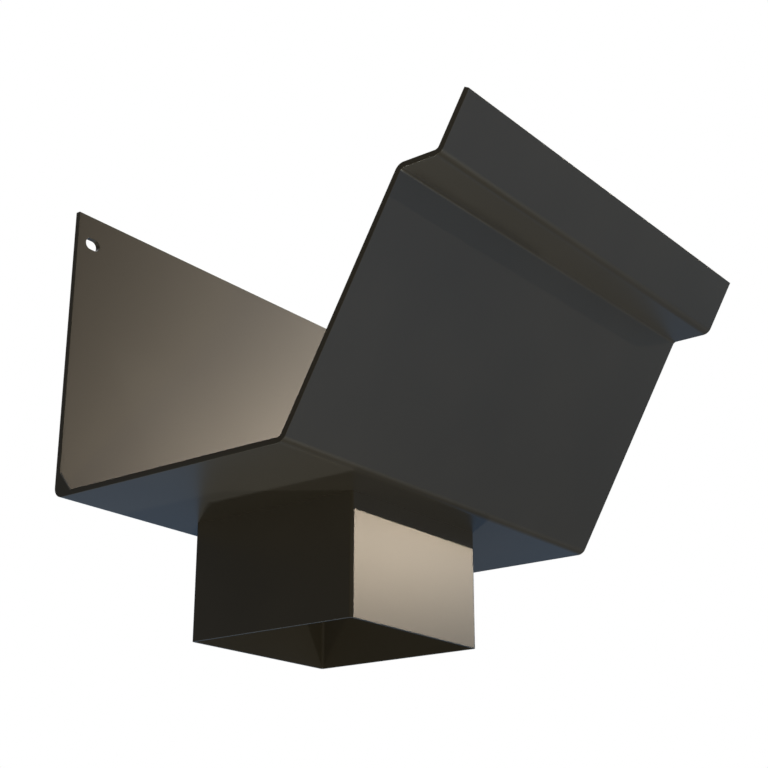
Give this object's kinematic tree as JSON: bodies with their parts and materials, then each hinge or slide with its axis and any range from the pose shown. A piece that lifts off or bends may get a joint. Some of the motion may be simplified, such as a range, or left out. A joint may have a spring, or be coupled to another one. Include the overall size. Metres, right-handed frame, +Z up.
{
  "type": "rainwater outlet",
  "caption": "Short folded box gutter with a leaning, stepped front wall and a slotted back leg, and an open square spigot under its sole.",
  "frame": {"origin": "centre of the square spigot's open lower end, in the plane of its rim", "axes": "+X from the wall side towards the front of the gutter, +Y along the gutter, +Z up, against the water's way down the spigot"},
  "size_m": [0.2432, 0.25, 0.212],
  "materials": {
    "powder_coat": "satin"
  },
  "bodies": {
    "root": {"gutter_section": "powder_coat", "outlet_spigot": "powder_coat"}
  },
  "joints": []
}
